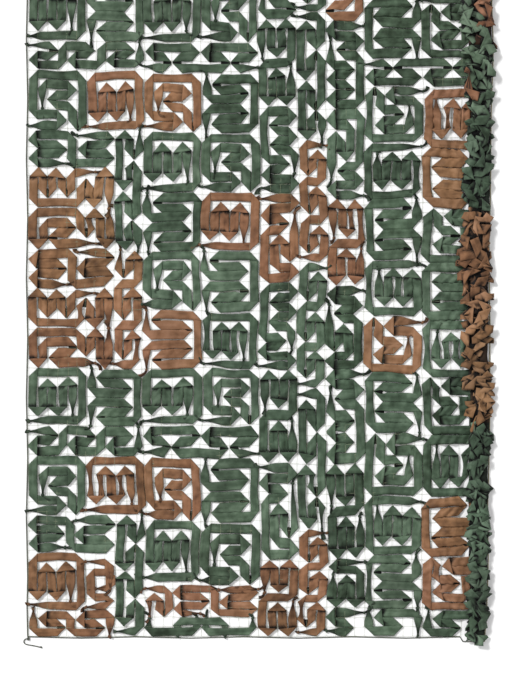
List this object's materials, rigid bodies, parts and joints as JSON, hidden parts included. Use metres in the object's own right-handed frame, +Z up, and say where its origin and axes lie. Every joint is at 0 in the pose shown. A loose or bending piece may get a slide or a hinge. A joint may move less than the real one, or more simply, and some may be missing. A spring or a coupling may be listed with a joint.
{
  "type": "camouflage net",
  "caption": "Rectangular camouflage net of folded cloth ribbons on a square-mesh base net with an edge rope, laid flat with one side gathered into a stack of folds.",
  "frame": {"origin": "middle of the laid net, seen from above and without its loose rope end, at the surface that it lies on", "axes": "+X across the net towards its gathered side, +Y along the net, +Z up from the surface"},
  "size_m": [2.4559, 3.4943, 0.0521],
  "materials": {
    "green_cloth": "matte dark green woven ribbon",
    "brown_cloth": "matte brown woven ribbon",
    "rope": "dark twisted rope"
  },
  "bodies": {
    "root": {"brown_a1": "brown_cloth", "brown_a2": "brown_cloth", "brown_a3": "brown_cloth", "brown_a4": "brown_cloth", "brown_b1": "brown_cloth", "brown_b2": "brown_cloth", "brown_b3": "brown_cloth", "brown_c0": "brown_cloth", "brown_c1": "brown_cloth", "brown_c2": "brown_cloth", "brown_c3": "brown_cloth", "brown_c4": "brown_cloth", "brown_d1": "brown_cloth", "brown_e1": "brown_cloth", "brown_e2": "brown_cloth", "brown_f1": "brown_cloth", "brown_f2": "brown_cloth", "brown_g1": "brown_cloth", "brown_g2": "brown_cloth", "brown_h1": "brown_cloth", "brown_i1": "brown_cloth", "brown_i2": "brown_cloth", "corner_knot": "rope", "edge_rope": "rope", "end_knot": "rope", "folds_brown_far": "brown_cloth", "folds_brown_middle": "brown_cloth", "folds_green_far": "green_cloth", "folds_green_near": "green_cloth", "green_a1": "green_cloth", "green_a2": "green_cloth", "green_b1": "green_cloth", "green_b2": "green_cloth", "green_b3": "green_cloth", "green_b4": "green_cloth", "green_c1": "green_cloth", "green_c2": "green_cloth", "green_c3": "green_cloth", "green_c4": "green_cloth", "green_c5": "green_cloth", "green_d1": "green_cloth", "green_d2": "green_cloth", "green_d3": "green_cloth", "green_d4": "green_cloth", "green_e1": "green_cloth", "green_e2": "green_cloth", "green_f1": "green_cloth", "green_f2": "green_cloth", "green_g1": "green_cloth", "green_g2": "green_cloth", "green_h1": "green_cloth", "green_h2": "green_cloth", "green_h3": "green_cloth", "green_i1": "green_cloth", "green_i2": "green_cloth", "green_i3": "green_cloth", "rope_end": "rope"}
  },
  "joints": []
}
